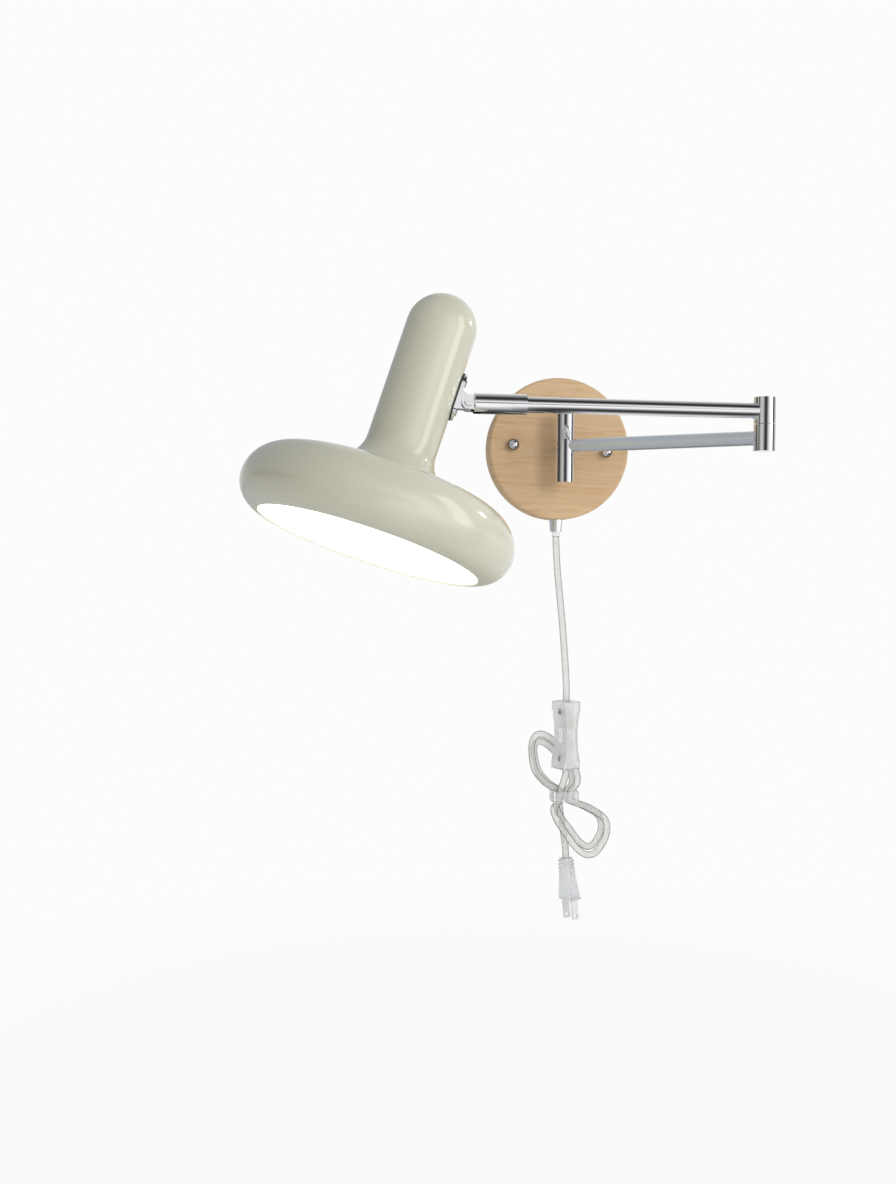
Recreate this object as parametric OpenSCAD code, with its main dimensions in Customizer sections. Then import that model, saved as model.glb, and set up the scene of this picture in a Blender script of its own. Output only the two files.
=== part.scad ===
// Swing arm wall lamp: wooden wall plate, two chrome arms and an enamelled shade.
// Origin: middle of the plate's back, on the wall. +Z is up and the room lies toward -Y.

/* [Wall plate] */
// Diameter of the wooden plate
plate_d = 120; // [110:1:150]
// Thickness of the plate
plate_t = 22; // [20:0.5:28]
// Radius of the plate's front edge
plate_round = 2.5; // [1:0.5:4]
// Diameter of the hollow behind the plate
hollow_d = 98; // [96:1:104]
// Depth of the hollow
hollow_depth = 14; // [13:0.5:16]
// Distance between the two cap nuts
nut_pitch = 80; // [70:1:84]
// Turn of the pair of cap nuts from level in degrees
nut_turn = 3.4; // [-4:0.2:4]
// Diameter of the studs
stud_d = 4; // [3:0.5:5]
// Diameter of the ball on each cap nut
cap_nut_d = 9.6; // [8:0.2:12]

/* [Wall bracket] */
// Length of the steel strip
bracket_l = 92; // [90:1:94]
// Height of the strip
bracket_w = 16; // [14:1:20]
// Thickness of the strip
bracket_t = 2; // [1.5:0.5:3]
// Distance between the two slots for wall screws
wall_screw_pitch = 50; // [40:1:54]
// Width of a wall screw slot
slot_w = 5; // [4:0.5:6]
// Length of a wall screw slot
slot_l = 10; // [8:1:14]

/* [Post at the wall] */
// From the plate's front to the middle of the post
stand_off = 23.7; // [21:0.1:40]
// Diameter of the stem between the plate and the post
stem_d = 6.6; // [6.6:0.1:7.4]
// Diameter of the stem's threaded tail
tail_d = 5; // [4:0.5:5]
// Diameter of the fixed spindle
spindle_d = 8; // [7:0.5:9]
// Diameter of the turning barrel
post_d = 15.4; // [15:0.1:20]
// Height of the barrel
post_h = 60; // [50:1:80]
// How far the barrel's slot lets the arm turn to each side
post_turn = 22; // [15:1:30]

/* [Arms] */
// From the post's middle to the elbow's middle
lower_arm_l = 163.5; // [150:0.5:220]
// Diameter of the lower arm's tube
lower_arm_d = 11.2; // [10:0.2:12]
// Diameter of the upper arm's tube
upper_arm_d = 12; // [10:0.2:12.4]
// Wall of both tubes
tube_wall = 1.2; // [0.8:0.1:1.6]
// Diameter of the elbow's barrel
elbow_d = 16.8; // [16:0.1:20]
// Height of each half of the elbow
elbow_h = 20.5; // [19:0.5:30]
// Diameter of the elbow's pin
elbow_pin_d = 6; // [5:0.5:7]

/* [Collar and swivel sleeve] */
// From the elbow's middle to the collar
collar_x = 186; // [160:1:240]
// Length of the collar
collar_l = 10.8; // [8:0.2:16]
// Length of the swivel sleeve without its fork
sleeve_l = 29; // [26:0.5:40]
// Diameter of the collar and the sleeve
sleeve_d = 15.4; // [15.2:0.1:18]
// How far the tube goes into the sleeve
tube_in_sleeve = 16; // [14:0.5:17]
// From the sleeve's end to the tilt screw
fork_reach = 3.8; // [3.6:0.1:5]
// Radius of the fork's and the eye's round ends
eye_r = 5.4; // [4.8:0.1:5.6]
// Width of the eye between the fork's cheeks
eye_w = 5.4; // [4.4:0.2:6]
// Diameter of the tilt screw
tilt_screw_d = 4; // [3:0.5:4.5]

/* [Shade] */
// From the tilt screw to the shade's column
column_gap = 9.7; // [9.6:0.1:14]
// Radius of the column
column_r = 26.5; // [25:0.5:32]
// Height of the column's top over the tilt screw
top_rise = 72.6; // [66:0.2:90]
// Depth of the mouth below the tilt screw
mouth_drop = 125.4; // [118:0.2:140]
// Largest radius of the shade
bulge_r = 103; // [96:1:115]
// Height of the widest ring over the mouth
bulge_z = 21.4; // [20:0.2:24]
// Radius of the curve over the widest ring
upper_curve = 27.4; // [26:0.2:30]
// Radius of the curve under the widest ring
lower_curve = 22; // [20:0.5:22]
// Radius of the mouth
mouth_r = 83.5; // [82.8:0.1:84.5]
// Slope of the shade's broad top in degrees
top_slope = 11.2; // [8:0.2:13]
// Radius where the column meets the broad top
neck_r = 23; // [14:0.5:26]
// Thickness of the shade's metal
shade_wall = 1.2; // [0.8:0.1:2]

/* [Lamp] */
// Diameter of the bulb
bulb_d = 60; // [55:1:65]
// Length of the bulb with its cap
bulb_l = 105; // [100:1:110]
// Diameter of the bulb's screw cap
bulb_cap_d = 26.4; // [26:0.1:27]
// Length of the screw cap
bulb_cap_l = 23; // [20:0.5:25]
// Height of the bulb's tip over the mouth
bulb_up = 6; // [3:0.5:12]
// Outer diameter of the lamp holder
holder_d = 38; // [36:0.5:40]
// Length of the lamp holder
holder_l = 54; // [50:0.5:56]

/* [Pose] */
// Direction of the lower arm, turned from +X toward the room
lower_arm_turn = 33.5; // [15:0.5:60]
// Direction of the upper arm, turned from -X toward the room
upper_arm_turn = 1.7; // [0:0.1:30]
// Roll of the shade about the upper arm
head_roll = 7; // [-20:0.5:20]
// Tilt of the shade's mouth away from the elbow
head_tilt = 18.6; // [-20:0.2:40]

/* [Cord] */
// Width of the flat cord
cord_w = 5.8; // [5:0.2:6]
// Thickness of the flat cord
cord_t = 3.4; // [3:0.1:3.6]
// Length of the gland under the plate
gland_l = 10; // [8:0.5:14]
// Diameter of the gland at the plate
gland_d = 12; // [11.5:0.1:13]
// Diameter of the gland's lower end
gland_end_d = 10.2; // [9.6:0.1:11]
// How far the bush stands out of the gland
bush_out = 4; // [2:0.5:6]
// Turns of cord in the hank
hank_turns = 2; // [1:1:2]
// Height of the hank's upper lobe over the tie
upper_lobe_l = 57; // [52:0.5:60]
// Reach of the hank's lower lobe under the tie
lower_lobe_l = 52.5; // [48:0.5:56]
// Height of the tie
tie_h = 9; // [8:0.5:11]

/* [Switch and plug] */
// Length of the inline switch
switch_l = 58; // [56:1:64]
// Width of the switch at its ends
switch_w = 20; // [19:0.5:22]
// Thickness of the switch at its ends
switch_t = 18.6; // [18:0.2:20]
// Wall of the switch
switch_wall = 1.6; // [1.2:0.1:2]
// Length of the plug's body
plug_l = 35; // [30:1:38]
// Length of a blade
blade_l = 17; // [16:0.5:18]
// Distance between the blades
blade_pitch = 12.7; // [12:0.1:13]
// Width of a blade
blade_w = 6.3; // [6:0.1:7]

/* [Clearances] */
// Radial clearance of a turning fit
run_gap = 0.05; // [0.02:0.01:0.1]
// Clearance round a bolt or a loose part
loose = 0.3; // [0.2:0.05:0.5]

/* [Hidden] */
$fn = 64;
cut = 0.5;

wood = [0.79, 0.66, 0.50];
chrome = [0.80, 0.81, 0.83];
steel = [0.62, 0.63, 0.65];
brass = [0.80, 0.68, 0.38];
enamel = [0.77, 0.78, 0.70];
clear = [0.86, 0.88, 0.88];
black = [0.10, 0.10, 0.10];
white = [0.93, 0.93, 0.91];

post_y = -plate_t - stand_off;
nut_seat = 0.4;
turn_middle = 5;
stem_hole_d = tail_d + 2 * loose;
nose_d = stem_d / 2 + 0.5;
nose_l = 2.5;
tail_l = 10;
washer_t = 1.2;
washer_d = 2.6 * tail_d;
nut_t = 0.8 * tail_d;
nut_across = 1.65 * tail_d;
cap_t = 1.6;
end_gap = 0.2;
cap_rim = 1.5;
elbow_gap = 0.4;
washer_in = 0.6;
pin_head_h = 3;
pin_head_d = elbow_pin_d + 4;
pin_room = 0.4;
clip_t = 2.4;
swivel_groove = 0.6;
swivel_screw_d = 3;
groove_w = swivel_screw_d + 0.4;
screw_sink = 0.1;
pin_x = collar_x + collar_l + run_gap + sleeve_l + fork_reach;
sleeve_x = collar_x + collar_l + run_gap;
tube_end = sleeve_x + tube_in_sleeve;
cheek_t = 2.4;
tilt_head_d = 2 * tilt_screw_d - 0.6;
tilt_head_h = 1.6;
tilt_slot_w = 1.2;
tilt_nut_across = 2 * tilt_screw_d - 1.6;
tilt_nut_t = 1.8;
sleeve_edge = 0.8;
slot_in = 5;
column_x = column_gap + column_r;
gasket_t = 1.2;
lug_l = 36;
lug_w = 16;
lug_t = 1.6;
lug_rise = 1.6;
ear_half = 7.4;
lug_screw_pitch = 23;
lug_screw_d = 3;
lug_screw_head_d = 5.4;
lug_screw_head_h = 1.2;
lug_screw_out = 1.4;
lead_hole_d = 6;
leg_w = 12;
leg_t = 1.5;
leg_half = leg_w / 2;
leg_end = 5;
leg_x = column_x - sqrt(pow(column_r - shade_wall, 2) - leg_half * leg_half) + run_gap;
nipple_d = 9.8;
nipple_l = 7;
nipple_wall = 1.5;
holder_nut_across = nipple_d + 4;
holder_nut_t = 3;
thread_d = bulb_cap_d + 3;
contact_d = 8;
tip_d = 10;
tip_t = 1;
tip_cone = 3;
bulb_neck = [0.6, 1.2, 8];
socket_gap = 2;
bulb_tip_z = -mouth_drop + bulb_up;
bulb_cap_top = bulb_tip_z + bulb_l;
holder_z = bulb_cap_top - bulb_cap_l - socket_gap;
holder_top = holder_z + holder_l;
gland_y = -plate_t / 2;
gland_top = -plate_d / 2 + 0.5;
gland_bottom = -plate_d / 2 - gland_l;
gland_bore = 7.4;
spigot_d = 9;
spigot_in = 2;
spigot_room = 4;
bush_in = 4;
bush_slim = 0.6;
terminal_w = 22;
terminal_h = 12;
terminal_t = hollow_depth - bracket_t - 2;
terminal_z = -30;
terminal_screw_d = 3.4;
terminal_screw_l = 2.4;
terminal_well_d = 3.6;
terminal_well_l = 3;
lead_d = 2;
lead_gap = 3.2;
switch_waist = [3.4, 6.8];
switch_round = 2.4;
switch_corner = 3.6;
switch_post_d = 6;
switch_post_in = 9;
switch_screw_d = 2.4;
switch_head = [4.4, 1.4];
screw_seat = 5;
screw_grip = 4;
cheek_l = 7;
switch_turn = -62;
rocker_w = 5;
rocker_l = 14;
rocker_pin_d = 2;
rocker_y = -2.6;
rocker_tips = [1.1, 0.6];
rocker_t = 1.4;
rocker_foot = 2.5;
contact_at = [-5, 3.2, 5];
contact_size = [10, 1.2, 9];
plug_turn = -67;
plug_lean = 5;
plug_neck = [10.4, 9.4];
plug_waist = [12.6, 10.4];
plug_waist_z = 12;
plug_foot = [20, 11];
plug_round = 2.6;
plug_rib = 3;
plug_grip = 3;
blade_t = 1.5;

// Points of the free cord: the stretch to the switch and the one to the plug.
cord_top = [0, gland_y, gland_bottom - bush_out];
switch_at = [8, -23, -243];
switch_top = switch_at + [0, 0, switch_l / 2];
switch_bottom = switch_at - [0, 0, switch_l / 2];
plug_at = [11.6, -10.8, -351.6];
upper_route = [cord_top, [0.3, -11.3, -84], [1.5, -12.5, -105], [3.8, -14.5, -130], [5.8, -17, -155],
    [7.2, -20, -180], [8, -22.5, -200], switch_top + [0, 0, cord_w], switch_top];

// Turns of the hank. One turn runs down on the left, round the lower lobe, up on the right, round
// the upper lobe behind the switch, and down to the tie again. Inside the tie the strands are straight.
tie_at = [8.2, -17.4, -296.2];
outer_waist = 5.4;
inner_waist = 3.2;
upper_lobe_w = 14.2;
lower_lobe_w = 15.4;
upper_lean = -20;
lower_lean = 22;
opening = 0.3;
leaning = 0.6;
turn_step = 4.2;
hank_front = tie_at[1] - turn_step;
set_back = 9.4;
shrink = 0.12;
lobe_step = 3;
inner_step = 3.6;
fullness = 6;
behind = 0.6;
end_drop = 1.4;
tie_room = [3.6, 1.4];
tie_wall = 1.2;
tie_round = 1.8;
crowding = [13, 3.6];
rings_per_turn = 24;
hold = tie_h / 2;
hank_end = hank_point(360 * hank_turns) - [0, 0, cord_w * end_drop];
tail_route = [hank_end, hank_end - [0, 0, cord_t], [7, -11.9, -318], [9.8, -11.2, -333],
    [11.2, -11, -343], plug_at];

function limit(x) = max(0, min(1, x));
function smooth(x) = limit(x) * limit(x) * (3 - 2 * limit(x));
function rise(x) = sin(90 * limit(x));
function crowded(a) = a - crowding[0] * sin(2 * a) - crowding[1] * sin(4 * a);
function waist(a) = outer_waist + (inner_waist - outer_waist) * limit(a / 360 - 0.5);
function hank_point(a) = let (
        s = abs(sin(a)),
        low = sin(a) >= 0,
        reach = (low ? lower_lobe_l : upper_lobe_l) * (1 - shrink * a / 360),
        free = max(0, (s - hold / reach) / (1 - hold / reach)),
        lobe = low ? lower_lobe_w - lobe_step * a / 360 : upper_lobe_w - inner_step * limit(a / 360 - 1),
        full = low && cos(a) > 0 ? fullness * sin(180 * free) : 0,
        lean = low ? lower_lean * rise(free / leaning) : upper_lean * free
    ) [tie_at[0] - cos(a) * (waist(a) + lobe * rise(free / opening) + full) + lean,
        hank_front + turn_step * a / 360 + (low ? 0 : set_back * smooth(s / behind)),
        tie_at[2] + (low ? -reach : reach) * s];

hank_lead = [switch_bottom, switch_bottom - [0, 0, cord_w]];
hank_route = concat(hank_lead,
    [for (i = [0 : rings_per_turn * hank_turns]) hank_point(crowded(i * 360 / rings_per_turn))],
    [hank_end + [0, 0, cord_w], hank_end]);

// Flat tube swept along a route: each ring stands square to the route.
function unit(v) = v / norm(v);
function heading(r, i) = unit(r[min(i + 1, len(r) - 1)] - r[max(i - 1, 0)]);
function end_heading(r, i) = i == 0 ? unit(r[1] - r[0]) :
    i == len(r) - 1 ? unit(r[i] - r[i - 1]) : heading(r, i);
function ring(r, i, sides, w, t) = let (
        h = end_heading(r, i),
        across = unit(cross(h, [0, 1, 0])),
        deep = cross(across, h)
    ) [for (k = [0 : sides - 1]) let (a = (k + 0.5) * 360 / sides)
        r[i] + across * cos(a) * w + deep * sin(a) * t];
function rings(r, sides, w, t) = [for (i = [0 : len(r) - 1]) ring(r, i, sides, w, t)];

// Smooth curve through a few route points, with even steps between them.
function between(a, b, c, d, t) = 0.5 * ((2 * b) + (c - a) * t + (2 * a - 5 * b + 4 * c - d) * t * t
    + (3 * b - a - 3 * c + d) * t * t * t);
function curve(r, steps) = [for (i = [0 : len(r) - 2], j = [0 : steps - 1])
    between(r[max(i - 1, 0)], r[i], r[i + 1], r[min(i + 2, len(r) - 1)], j / steps)];
function full_curve(r, steps) = concat(curve(r, steps), [r[len(r) - 1]]);

// Least gap between stretches of the hank that are not neighbours, on the tube's own points.
far_apart = 5;
hank_rings = rings(hank_route, 6, cord_w / 2, cord_t / 2);
hank_gap = min([for (i = [0 : len(hank_rings) - 1], j = [i + far_apart : 1 : len(hank_rings) - 1])
    if (norm(hank_route[i] - hank_route[j]) < 2 * cord_w)
        min([for (p = hank_rings[i], q = hank_rings[j]) norm(p - q)])]);
echo(hank_gap = hank_gap);

// Points on an arc round a centre, from one angle to another.
function arc(c, r, from, to, n) = [for (i = [0 : n]) let (a = from + (to - from) * i / n)
    [c[0] + r * cos(a), c[1] + r * sin(a)]];

// Outlines of the shade's three rings, each drawn in by an inset. Heights are over the mouth.
shade_low = [bulge_r - lower_curve, bulge_z];
shade_up = [bulge_r - upper_curve, bulge_z];
shade_lip = -acos((mouth_r - shade_low[0]) / lower_curve);
shade_edge = shade_up + upper_curve * [sin(top_slope), cos(top_slope)];
neck_x = column_r + neck_r;
neck_z = shade_edge[1] + (neck_r - (neck_x - shade_edge[0]) * sin(top_slope)) / cos(top_slope);
dome_z = mouth_drop + top_rise - column_r;
function rim_outline(inset) = arc(shade_low, lower_curve - inset, shade_lip, 0, 12);
function top_outline(inset) = concat(
    arc(shade_up, upper_curve - inset, 0, 90 - top_slope, 13),
    arc([neck_x, neck_z], neck_r + inset, 270 - top_slope, 180, 12));
function column_outline(inset) = concat(
    [[column_r - inset, neck_z]],
    arc([0, dome_z], column_r - inset, 0, 90, 12));

function reversed(p) = [for (i = [len(p) - 1 : -1 : 0]) p[i]];

module rod(d, l) {
    cylinder(d = d, h = l);
}

module along_x(x = 0) {
    translate([x, 0, 0]) rotate([0, 90, 0]) children();
}

module out_of_wall(y = 0) {
    translate([0, -y, 0]) rotate([90, 0, 0]) children();
}

module nut_places() {
    rotate([0, nut_turn, 0]) mirrored_x() translate([nut_pitch / 2, 0, 0]) children();
}

module mirrored_x() {
    children();
    mirror([1, 0, 0]) children();
}

module mirrored_y() {
    children();
    mirror([0, 1, 0]) children();
}

module mirrored_z() {
    children();
    mirror([0, 0, 1]) children();
}

module rounded_square(w, t, r) {
    union() {
        square([w - 2 * r, t], center = true);
        square([w, t - 2 * r], center = true);
        for (x = [-1, 1], y = [-1, 1]) translate([x * (w / 2 - r), y * (t / 2 - r)]) circle(r = r);
    }
}

module slot_outline(l, w) {
    square([l - w, w], center = true);
    for (x = [-1, 1]) translate([x * (l - w) / 2, 0]) circle(d = w);
}

module hex(across, h) {
    cylinder(d = across / cos(30), h = h, $fn = 6);
}

// Places of the moving groups
module lower_arm_place() {
    translate([0, post_y, 0]) rotate([0, 0, -lower_arm_turn]) children();
}

module elbow_place() {
    lower_arm_place() translate([lower_arm_l, 0, 0]) children();
}

module upper_arm_place() {
    translate([lower_arm_l * cos(lower_arm_turn), post_y - lower_arm_l * sin(lower_arm_turn), elbow_h])
        rotate([0, 0, 180 + upper_arm_turn]) children();
}

module swivel_place() {
    upper_arm_place() rotate([head_roll, 0, 0]) children();
}

module head_place() {
    swivel_place() translate([pin_x, 0, 0]) rotate([0, -head_tilt, 0]) children();
}

module shade_place() {
    head_place() translate([column_x, 0, -mouth_drop]) children();
}

// Wall unit
module wall_plate() {
    color(wood) difference() {
        out_of_wall() rotate_extrude($fn = 128) union() {
            square([plate_d / 2, plate_t - plate_round]);
            square([plate_d / 2 - plate_round, plate_t]);
            translate([plate_d / 2 - plate_round, plate_t - plate_round]) circle(r = plate_round);
        }
        out_of_wall(-cut) rod(hollow_d, hollow_depth + cut);
        out_of_wall() rod(stem_hole_d, plate_t + cut);
        nut_places() out_of_wall() rod(stud_d + 2 * loose, plate_t + cut);
        translate([0, gland_y, -plate_d / 2 - cut]) rod(spigot_d, plate_d / 2 - hollow_d / 2 + spigot_room);
        translate([0, gland_y, gland_top - plate_d]) rod(gland_d + 2 * loose, plate_d);
    }
}

module wall_bracket() {
    color(steel) difference() {
        translate([-bracket_l / 2, -bracket_t, -bracket_w / 2]) cube([bracket_l, bracket_t, bracket_w]);
        nut_places() out_of_wall(-cut) rod(stud_d, bracket_t + 2 * cut);
        mirrored_x() translate([wall_screw_pitch / 2, 0, 0]) out_of_wall(-cut)
            linear_extrude(bracket_t + 2 * cut) slot_outline(slot_l, slot_w);
    }
}

module bracket_studs() {
    color(steel) nut_places() out_of_wall() rod(stud_d, plate_t + cap_nut_d / 2);
}

module cap_nuts() {
    ball_y = plate_t + cap_nut_d / 2 - nut_seat;
    color(chrome) nut_places() difference() {
        intersection() {
            out_of_wall(ball_y) sphere(d = cap_nut_d);
            out_of_wall(plate_t) rod(cap_nut_d * 2, cap_nut_d);
        }
        out_of_wall(plate_t - cut) rod(stud_d, cap_nut_d / 2 + cut);
    }
}

module stem() {
    color(chrome) union() {
        difference() {
            out_of_wall(plate_t) rod(stem_d, stand_off);
            translate([0, post_y, -post_h / 2]) rod(spindle_d, post_h);
        }
        out_of_wall(plate_t) rod(nose_d, stand_off - spindle_d / 2 + nose_l);
        out_of_wall(hollow_depth - tail_l) rod(tail_d, plate_t - hollow_depth + tail_l + cut);
    }
}

module stem_washer() {
    color(steel) difference() {
        out_of_wall(hollow_depth - washer_t) rod(washer_d, washer_t);
        out_of_wall(hollow_depth - washer_t - cut) rod(tail_d + loose, washer_t + 2 * cut);
    }
}

module stem_nut() {
    color(steel) difference() {
        out_of_wall(hollow_depth - washer_t - nut_t) hex(nut_across, nut_t);
        out_of_wall(hollow_depth - washer_t - nut_t - cut) rod(tail_d, nut_t + 2 * cut);
    }
}

module hinge_spindle() {
    half = post_h / 2 - cap_t - end_gap;
    color(steel) difference() {
        translate([0, post_y, -half]) rod(spindle_d, 2 * half);
        out_of_wall(plate_t) rod(nose_d, stand_off - spindle_d / 2 + nose_l);
    }
}

module terminal_block() {
    color(white) difference() {
        translate([-terminal_w / 2, -hollow_depth, terminal_z - terminal_h / 2])
            cube([terminal_w, terminal_t, terminal_h]);
        mirrored_x() translate([terminal_w / 4, terminal_t - hollow_depth + cut, terminal_z])
            rotate([90, 0, 0]) rod(terminal_well_d, terminal_well_l + cut);
        mirrored_x() translate([lead_gap / 2, gland_y, terminal_z - terminal_h]) rod(lead_d, terminal_h);
    }
}

module terminal_screws() {
    sunk = terminal_well_l - terminal_screw_l;
    color(brass) mirrored_x() translate([terminal_w / 4, terminal_t - hollow_depth - sunk, terminal_z])
        rotate([90, 0, 0]) rod(terminal_screw_d, terminal_screw_l);
}

module supply_leads() {
    bottom = gland_bottom + bush_in;
    color(brass) mirrored_x() translate([lead_gap / 2, gland_y, bottom]) rod(lead_d, terminal_z - bottom);
}

module cord_gland() {
    color(chrome) difference() {
        union() {
            translate([0, gland_y, gland_bottom])
                cylinder(d1 = gland_end_d, d2 = gland_d, h = gland_top - gland_bottom);
            translate([0, gland_y, gland_top - cut])
                rod(spigot_d - 2 * run_gap, plate_d / 2 - hollow_d / 2 + spigot_in);
        }
        translate([0, gland_y, gland_bottom - cut]) rod(gland_bore, gland_l + plate_d / 2);
    }
}

module cord_bush() {
    color(clear) translate([0, gland_y, gland_bottom - bush_out]) difference() {
        union() {
            rod(gland_bore - bush_slim, bush_out);
            translate([0, 0, bush_out]) rod(gland_bore, bush_in);
        }
        mirrored_x() translate([lead_gap / 2, 0, bush_out]) rod(lead_d, bush_in + cut);
    }
}

module flat_tube(route, sides) {
    pts = [for (one = rings(route, sides, cord_w / 2, cord_t / 2)) each one];
    last = (len(route) - 1) * sides;
    polyhedron(pts, concat(
        [[for (k = [0 : sides - 1]) k]],
        [for (i = [0 : len(route) - 2], k = [0 : sides - 1], half = [0, 1]) let (
                a = i * sides + k,
                b = i * sides + (k + 1) % sides
            ) half == 0 ? [a, a + sides, b + sides] : [a, b + sides, b]],
        [[for (k = [sides - 1 : -1 : 0]) last + k]]));
}

module cord_upper() {
    color(clear) flat_tube(full_curve(upper_route, 2), 8);
}

module cord_hank() {
    color(clear) flat_tube(hank_route, 6);
}

module cord_tail() {
    color(clear) flat_tube(full_curve(tail_route, 2), 8);
}

module hank_tie() {
    inner_w = 2 * outer_waist + cord_w + tie_room[0];
    inner_t = 3 * turn_step + cord_t + tie_room[1];
    color(clear) translate(tie_at - [0, 0, tie_h / 2]) linear_extrude(tie_h) difference() {
        rounded_square(inner_w + 2 * tie_wall, inner_t + 2 * tie_wall, tie_round + tie_wall);
        rounded_square(inner_w, inner_t, tie_round);
    }
}

// Inline switch, upright, with its face toward -Y before it is turned
module switch_place() {
    translate(switch_at) rotate([0, 0, switch_turn]) children();
}

module waisted(w, dip, deep, l, edge) {
    r = (l * l / 4 + dip * dip) / (2 * dip);
    rotate([90, 0, 0]) translate([0, 0, -deep]) linear_extrude(2 * deep) difference() {
        rounded_square(w, l, edge);
        mirrored_x() translate([w / 2 - dip + r, 0]) circle(r = r, $fn = 256);
    }
}

module switch_body(inset) {
    w = switch_w - 2 * inset;
    t = switch_t - 2 * inset;
    l = switch_l - 2 * inset;
    intersection() {
        waisted(w, switch_waist[0] / 2, t, l, switch_round);
        rotate([0, 0, 90]) waisted(t, switch_waist[1] / 2, w, l, switch_round);
        translate([0, 0, -l / 2]) linear_extrude(l) rounded_square(w, t, switch_corner - inset / 2);
    }
}

module switch_half(front) {
    side = front ? -1 : 0;
    intersection() {
        difference() {
            switch_body(0);
            switch_body(switch_wall);
        }
        translate([-switch_w, side * switch_t, -switch_l]) cube([2 * switch_w, switch_t, 2 * switch_l]);
    }
}

module rocker_window(extra) {
    w = rocker_w + 2 * extra;
    l = rocker_l + 2 * extra;
    translate([-w / 2, -switch_t, -l / 2]) cube([w, switch_t, l]);
}

module switch_posts() {
    mirrored_z() translate([0, 0, switch_l / 2 - switch_post_in]) rotate([90, 0, 0]) children();
}

module switch_front() {
    color(clear) switch_place() difference() {
        union() {
            switch_half(true);
            intersection() {
                switch_body(switch_wall / 2);
                union() {
                    mirrored_x() translate([rocker_w / 2 + loose, -switch_t, -cheek_l / 2])
                        cube([switch_wall, switch_t + rocker_y + switch_wall, cheek_l]);
                    switch_posts() rod(switch_post_d, switch_t);
                }
            }
        }
        rocker_window(loose);
        along_x(-rocker_w) translate([0, rocker_y, 0]) rod(rocker_pin_d + 2 * run_gap, 2 * rocker_w);
        switch_posts() rod(switch_screw_d + loose, switch_t);
        switch_posts() translate([0, 0, screw_seat]) rod(switch_head[0] + loose, switch_t);
    }
}

module switch_back() {
    color(clear) switch_place() difference() {
        union() {
            switch_half(false);
            intersection() {
                switch_body(switch_wall / 2);
                switch_posts() translate([0, 0, -switch_t]) rod(switch_post_d, switch_t);
            }
        }
        switch_posts() translate([0, 0, -screw_grip]) rod(switch_screw_d, switch_t);
    }
}

module switch_screw() {
    color(steel) switch_place() switch_posts() union() {
        translate([0, 0, -screw_grip]) rod(switch_screw_d, screw_grip + screw_seat + cut);
        translate([0, 0, screw_seat]) rod(switch_head[0], switch_head[1]);
    }
}

module switch_rocker() {
    front = -switch_t / 2 + switch_waist[1] / 2 - rocker_y;
    half = rocker_l / 2 - loose;
    color(white) switch_place() translate([0, rocker_y, 0]) union() {
        rotate([90, 0, 90]) translate([0, 0, -rocker_w / 2]) linear_extrude(rocker_w) polygon([
            [front - rocker_tips[0], -half], [front, 0], [front - rocker_tips[1], half],
            [front + rocker_t, half], [rocker_t, rocker_foot],
            [rocker_t, -rocker_foot], [front + rocker_t, -half]]);
        along_x(-rocker_w / 2 - switch_wall) rod(rocker_pin_d, rocker_w + 2 * switch_wall);
    }
}

module switch_contacts() {
    color(brass) switch_place() mirrored_z()
        translate(contact_at) cube(contact_size);
}

module plug_place() {
    translate(plug_at) rotate([-plug_lean, -plug_lean, 0]) rotate([0, 0, plug_turn]) children();
}

module plug_slab(size, z) {
    translate([0, 0, z]) linear_extrude(1) rounded_square(size[0], size[1], plug_round, $fn = 32);
}

module plug_body() {
    color(clear) plug_place() union() {
        hull() {
            plug_slab(plug_neck, -1);
            plug_slab(plug_waist, -plug_waist_z);
        }
        hull() {
            plug_slab(plug_waist, -plug_waist_z);
            plug_slab(plug_foot, 1 - plug_l);
        }
        plug_slab(plug_foot + [1, 1], -plug_l);
        for (i = [1 : 3]) plug_slab(plug_waist + [0.4, 0.6], -plug_rib * i);
        mirrored_x() for (i = [0, 1])
            translate([plug_waist[0] / 2 - 1 + i, -plug_grip / 2, -plug_grip * (4 + 2 * i)])
                cube([plug_grip, plug_grip, plug_grip]);
    }
}

module plug_blades() {
    color(steel) plug_place() mirrored_x() translate([blade_pitch / 2, 0, -plug_l - blade_l]) difference() {
        translate([-blade_t / 2, -blade_w / 2, 0]) cube([blade_t, blade_w, blade_l]);
        along_x(-blade_t) translate([-blade_w / 2, 0, 0]) rod(blade_w / 2, 2 * blade_t);
    }
}

// Lower arm
// The slot lets the stem through and is as wide as the arm's turn needs, from the middle of its travel.
module post_slot() {
    gap = stem_d + 2 * loose;
    middle = 90 + lower_arm_turn - turn_middle;
    translate([0, 0, -gap / 2]) rotate([0, 0, middle]) linear_extrude(gap) union() {
        polygon(concat([[0, 0]], arc([0, 0], post_d, -post_turn, post_turn, 8)));
        for (side = [-1, 1]) rotate([0, 0, side * post_turn]) translate([0, -gap / 2]) square([post_d, gap]);
    }
}

module post_barrel() {
    color(chrome) lower_arm_place() difference() {
        translate([0, 0, -post_h / 2]) rod(post_d, post_h);
        translate([0, 0, -post_h / 2 - cut]) rod(spindle_d + 2 * run_gap, post_h + 2 * cut);
        mirrored_z() translate([0, 0, post_h / 2 - cap_t]) rod(post_d - 2 * cap_rim, cap_t + cut);
        post_slot();
    }
}

module post_caps() {
    color(chrome) lower_arm_place() mirrored_z() translate([0, 0, post_h / 2 - cap_t])
        rod(post_d - 2 * cap_rim, cap_t);
}

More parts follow.
